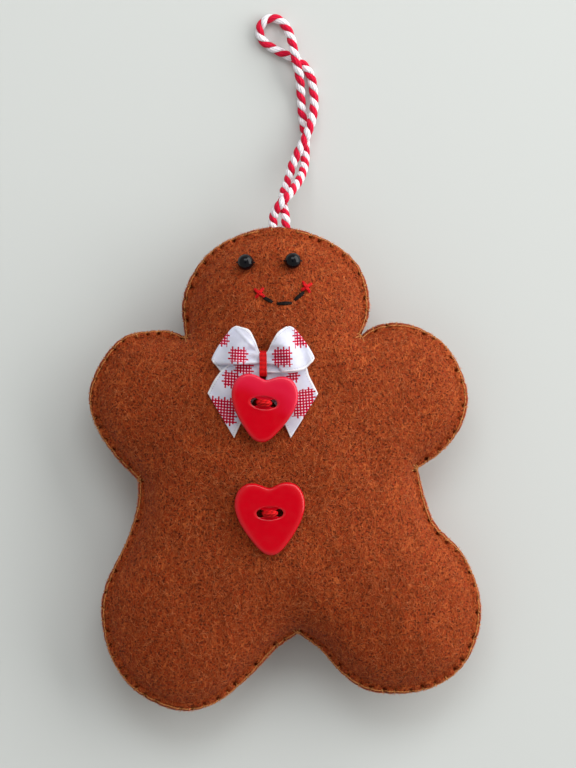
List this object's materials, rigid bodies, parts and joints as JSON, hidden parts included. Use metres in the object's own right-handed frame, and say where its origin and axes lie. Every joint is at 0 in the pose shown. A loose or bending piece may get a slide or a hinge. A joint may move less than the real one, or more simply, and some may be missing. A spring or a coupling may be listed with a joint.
{
  "type": "stuffed felt ornament",
  "caption": "Stuffed felt gingerbread man ornament with a stitched edge, bead eyes, a checked ribbon bow, heart buttons and a twisted cord loop that swings at the head.",
  "frame": {"origin": "on the surface that the ornament lies on, under the middle of the figure's outline, the cord left out", "axes": "+Y towards the head, +X to the right as seen from the front, +Z out of the face"},
  "size_m": [0.1006, 0.1764, 0.0328],
  "materials": {
    "felt": "matte wool felt, rust brown, with short loose fibres",
    "filling": "white polyester filling",
    "edge_thread": "copper brown embroidery floss",
    "cord": "red and white two-ply cotton twist",
    "bead": "polished black bead",
    "black_thread": "black embroidery floss",
    "red_thread": "red embroidery floss with a soft sheen",
    "ribbon": "white cotton ribbon with patches of red check",
    "button": "glossy red moulded button"
  },
  "bodies": {
    "figure": {"front_felt": "felt", "back_felt": "felt", "stuffing": "filling", "seam_thread": "edge_thread", "cord_knot": "cord", "eye_bead_left": "bead", "eye_bead_right": "bead", "eye_thread_left": "black_thread", "eye_thread_right": "black_thread", "smile_stitch_left": "black_thread", "smile_stitch_centre": "black_thread", "smile_stitch_right": "black_thread", "cheek_stitch_left": "red_thread", "cheek_stitch_right": "red_thread", "bow_ribbon": "ribbon", "bow_tie_thread": "red_thread", "heart_button_upper": "button", "button_thread_upper": "red_thread", "heart_button_lower": "button", "button_thread_lower": "red_thread"},
    "loop": {"hanging_loop": "cord"}
  },
  "joints": [
    {"name": "loop_swing", "type": "hinge", "parent": "figure", "child": "loop", "pos_m": [-0.00137, 0.06274, 0.01185], "axis": [1, 0, 0], "range_deg": [0, 90]}
  ]
}
